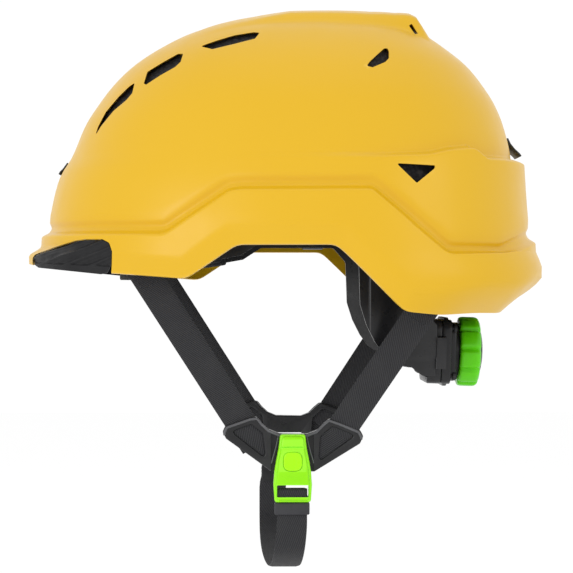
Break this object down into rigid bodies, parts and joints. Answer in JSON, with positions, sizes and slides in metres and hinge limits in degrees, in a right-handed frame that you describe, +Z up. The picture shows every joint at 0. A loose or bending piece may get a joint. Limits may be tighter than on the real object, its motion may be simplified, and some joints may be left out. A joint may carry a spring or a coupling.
{
  "type": "arborist helmet",
  "caption": "Vented climbing helmet shell with foam liner, dial-adjusted headband and a Y-strap chin harness closed by a side buckle.",
  "frame": {"origin": "centre of the headband plane on the middle plane of the head", "axes": "+Z up, -Y towards the brim, +X towards the wearer's left"},
  "size_m": [0.2227, 0.2861, 0.3124],
  "materials": {
    "shell_yellow": "glossy moulded",
    "liner_foam": "expanded bead foam",
    "soft_black": "matte",
    "black_plastic": "satin",
    "black_gloss": "glossy",
    "pad_fabric": "knitted",
    "webbing": "woven",
    "grey_rubber": "matte",
    "steel": "zinc plated",
    "green_plastic": "glossy",
    "green_light": "glossy"
  },
  "bodies": {
    "helmet": {"shell": "shell_yellow", "foam_liner": "liner_foam", "brim_insert_left": "soft_black", "brim_insert_right": "soft_black", "lamp_clip_front": "black_plastic", "lamp_clip_rear": "black_plastic", "crown_pad_front": "pad_fabric", "crown_pad_middle": "pad_fabric", "crown_pad_rear": "pad_fabric", "headband_front": "black_plastic", "brow_pad": "pad_fabric", "hanger_front_left": "black_plastic", "hanger_front_right": "black_plastic", "hanger_temple_left": "black_plastic", "hanger_temple_right": "black_plastic", "pivot_pin_left": "black_gloss", "pivot_pin_right": "black_gloss", "anchor_front_left": "black_plastic", "anchor_front_right": "black_plastic", "anchor_rear_left": "black_plastic", "anchor_rear_right": "black_plastic", "anchor_screws": "steel", "strap_front_left": "webbing", "strap_front_right": "webbing", "strap_rear_left": "webbing", "strap_rear_right": "webbing", "divider_left": "black_gloss", "divider_right": "black_gloss"},
    "nape_carrier": {"nape_arm_left": "black_gloss", "nape_arm_right": "black_gloss"},
    "rack_left": {"rack_strip_left": "black_plastic"},
    "rack_right": {"rack_strip_right": "black_plastic"},
    "dial_unit": {"ratchet_base": "black_gloss", "ratchet_cover": "black_gloss", "cover_screws": "steel", "click_spring": "steel", "nape_pad": "pad_fabric"},
    "dial": {"pinion": "black_plastic", "knob": "green_plastic", "knob_cap": "black_gloss"},
    "chin_unit": {"chin_strap": "webbing"},
    "buckle": {"buckle_clip": "green_plastic", "strap_sleeve": "grey_rubber"},
    "buckle_button": {"clip_button": "green_light"},
    "keeper": {"strap_keeper": "grey_rubber"}
  },
  "joints": [
    {"name": "nape_tilt", "type": "hinge", "parent": "helmet", "child": "nape_carrier", "pos_m": [0, 0.018, 0.003], "axis": [1, 0, 0], "range_deg": [-10, 3]},
    {"name": "size_adjust", "type": "slide", "parent": "nape_carrier", "child": "dial_unit", "axis": [0, 0.9994, -0.0349], "range_m": [-0.009, 0.006]},
    {"name": "rack_left_slide", "type": "slide", "parent": "nape_carrier", "child": "rack_left", "axis": [0.8321, 0.5544, -0.0194], "range_m": [-0.01632, 0.01092], "deforming": ["nape_arm_left"]},
    {"name": "rack_right_slide", "type": "slide", "parent": "nape_carrier", "child": "rack_right", "axis": [-0.8321, 0.5544, -0.0194], "range_m": [-0.01632, 0.01092], "deforming": ["nape_arm_right"]},
    {"name": "dial_turn", "type": "hinge", "parent": "dial_unit", "child": "dial", "pos_m": [0, 0.0866, -0.0627], "axis": [0, 0.9994, -0.0349], "range_deg": [-155, 104]},
    {"name": "chin_open", "type": "hinge", "parent": "helmet", "child": "chin_unit", "pos_m": [-0.066, 0.002, -0.1196], "axis": [0, 1, 0], "range_deg": [0, 85]},
    {"name": "buckle_slide", "type": "slide", "parent": "chin_unit", "child": "buckle", "axis": [0, 0, -1], "range_m": [0, 0.008]},
    {"name": "button_press", "type": "slide", "parent": "buckle", "child": "buckle_button", "axis": [-1, 0, 0], "range_m": [0, 0.001], "stiffness_N_per_m": 800},
    {"name": "keeper_slide", "type": "slide", "parent": "chin_unit", "child": "keeper", "axis": [0, 0, 1], "range_m": [-0.01, 0.006]}
  ],
  "couplings": [
    {"joint": "rack_left_slide", "follows": "size_adjust", "ratio": 1.8028},
    {"joint": "rack_right_slide", "follows": "size_adjust", "ratio": 1.8028},
    {"joint": "dial_turn", "follows": "size_adjust", "rad_per_m": 300}
  ]
}
